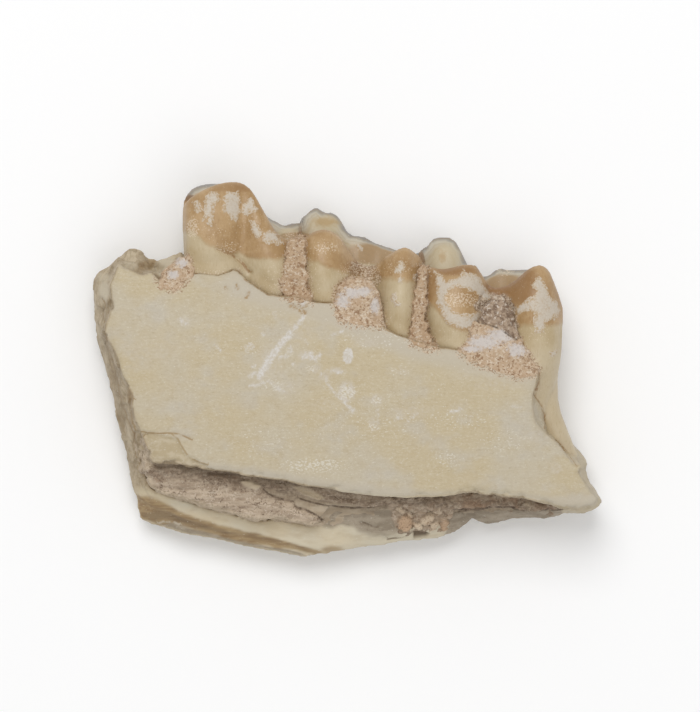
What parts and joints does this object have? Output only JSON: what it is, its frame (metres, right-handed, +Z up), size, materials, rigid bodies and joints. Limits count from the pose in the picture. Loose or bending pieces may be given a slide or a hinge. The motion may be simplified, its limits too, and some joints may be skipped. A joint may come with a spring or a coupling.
{
  "type": "fossil leptomeryx jaw",
  "caption": "Broken fossil lower jaw of a small ruminant: cheek teeth in a slab of bone with sediment between them, lying flat with the cheek side up.",
  "frame": {"origin": "on the resting plane, under the middle of the bounding box", "axes": "+X along the jaw towards the rear molar, +Y the way the teeth grew, +Z up, out of the cheek side"},
  "size_m": [0.0282, 0.0208, 0.0058],
  "materials": {
    "bone": "matt, slightly chalky, dirty cream",
    "tooth": "satin brown enamel fading to cream at the base",
    "sediment": "rough, grainy, pinkish tan"
  },
  "bodies": {
    "root": {"jaw_bone": "bone", "premolar": "tooth", "front_molar": "tooth", "rear_molar": "tooth", "marrow_sediment": "sediment", "socket_sediment": "sediment", "seam_sediment_front": "sediment", "seam_sediment_rear": "sediment", "groove_sediment_front": "sediment", "groove_sediment_rear": "sediment"}
  },
  "joints": []
}
